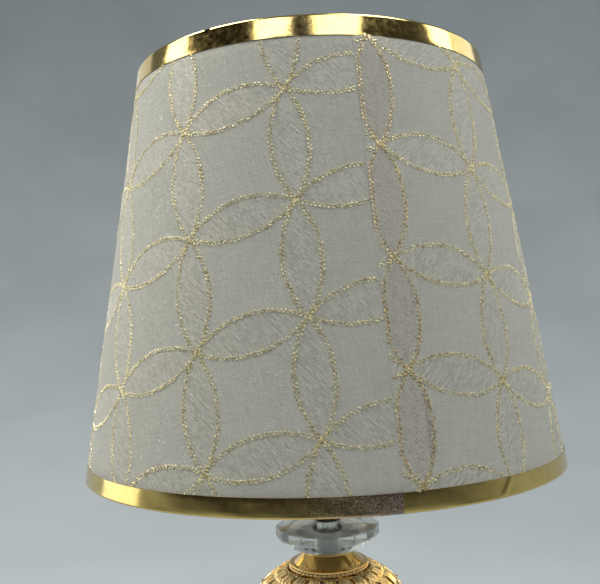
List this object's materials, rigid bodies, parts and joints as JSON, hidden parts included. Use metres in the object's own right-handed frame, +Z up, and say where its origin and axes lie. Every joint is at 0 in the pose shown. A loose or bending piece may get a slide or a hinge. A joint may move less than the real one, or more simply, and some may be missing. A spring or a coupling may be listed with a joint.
{
  "type": "table lamp with shade",
  "caption": "Table lamp: tapered cloth drum shade with gold stitched petals and gold edge trims, on a gold urn stem with a faceted crystal disc, candle bulb and round foot.",
  "frame": {"origin": "centre of the felt pad's underside, on the table", "axes": "+Z up along the lamp's axis, front towards -Y, cord bush towards +Y, switch knob towards +X"},
  "size_m": [0.25, 0.25, 0.4],
  "materials": {
    "gold": "polished gold plate",
    "dark_bronze": "dark bronze",
    "crystal": "clear cut crystal",
    "clear_plastic": "clear soft washer",
    "fabric": "woven cloth with gold stitching",
    "liner": "white laminated sheet",
    "gold_foil": "metallised gold tape",
    "white_wire": "white powder coat",
    "black_plastic": "moulded black plastic",
    "porcelain": "unglazed porcelain",
    "brass": "bare brass",
    "steel": "zinc plated steel",
    "iron": "rough cast iron",
    "painted_steel": "black paint",
    "felt": "dark green felt",
    "bush_rubber": "black rubber",
    "bulb_glass": "clear bulb glass",
    "cap_metal": "bright cap",
    "black_glass": "black glass insulator",
    "filament": "yellow coated filament"
  },
  "bodies": {
    "lamp": {"felt_pad": "felt", "base_cover": "painted_steel", "cover_screws": "steel", "ballast": "iron", "foot_shell": "gold", "cord_bush": "bush_rubber", "pipe_washer": "steel", "pipe_nut": "steel", "lamp_pipe": "steel", "foot_collar": "dark_bronze", "lower_bell": "gold", "urn_bowl": "gold", "urn_band": "gold", "urn_dome": "gold", "bead_ring": "gold", "neck_bell": "gold", "crystal_washers": "clear_plastic", "crystal_disc": "crystal", "top_collar": "dark_bronze", "holder_cap": "black_plastic", "contact_block": "porcelain", "terminals": "brass", "terminal_screws": "steel", "holder_skirt": "black_plastic", "screw_shell": "brass", "centre_contact": "brass", "switch_housing": "black_plastic"},
    "lower_shade_ring": {"lower_shade_ring": "black_plastic"},
    "upper_shade_ring": {"upper_shade_ring": "black_plastic"},
    "shade": {"right_fabric_panel": "fabric", "left_fabric_panel": "fabric", "shade_liner": "liner", "bottom_ring": "white_wire", "top_ring": "white_wire", "fitter_plate": "white_wire", "fitter_spoke_1": "white_wire", "fitter_spoke_2": "white_wire", "fitter_spoke_3": "white_wire", "bottom_trim": "gold_foil", "top_trim": "gold_foil"},
    "bulb": {"bulb_contact": "brass", "bulb_insulator": "black_glass", "bulb_cap": "cap_metal", "bulb_glass": "bulb_glass", "bulb_stem": "bulb_glass", "filament_mount": "steel", "filament_sticks": "filament"},
    "switch_knob": {"switch_knob": "black_plastic", "switch_spindle": "brass"}
  },
  "joints": [
    {"name": "shade_lift", "type": "slide", "parent": "lamp", "child": "upper_shade_ring", "axis": [0, 0, 1], "range_m": [0, 0.12]},
    {"name": "shade_swivel", "type": "hinge", "parent": "upper_shade_ring", "child": "shade", "pos_m": [0, 0, 0.196], "axis": [0, 0, 1], "continuous": true},
    {"name": "lower_ring_turn", "type": "hinge", "parent": "lamp", "child": "lower_shade_ring", "pos_m": [0, 0, 0.1935], "axis": [0, 0, 1], "continuous": true},
    {"name": "bulb_lift", "type": "slide", "parent": "lamp", "child": "bulb", "axis": [0, 0, 1], "range_m": [0, 0.22]},
    {"name": "switch_knob_turn", "type": "hinge", "parent": "lamp", "child": "switch_knob", "pos_m": [0.03, 0, 0.1775], "axis": [1, 0, 0], "continuous": true}
  ]
}
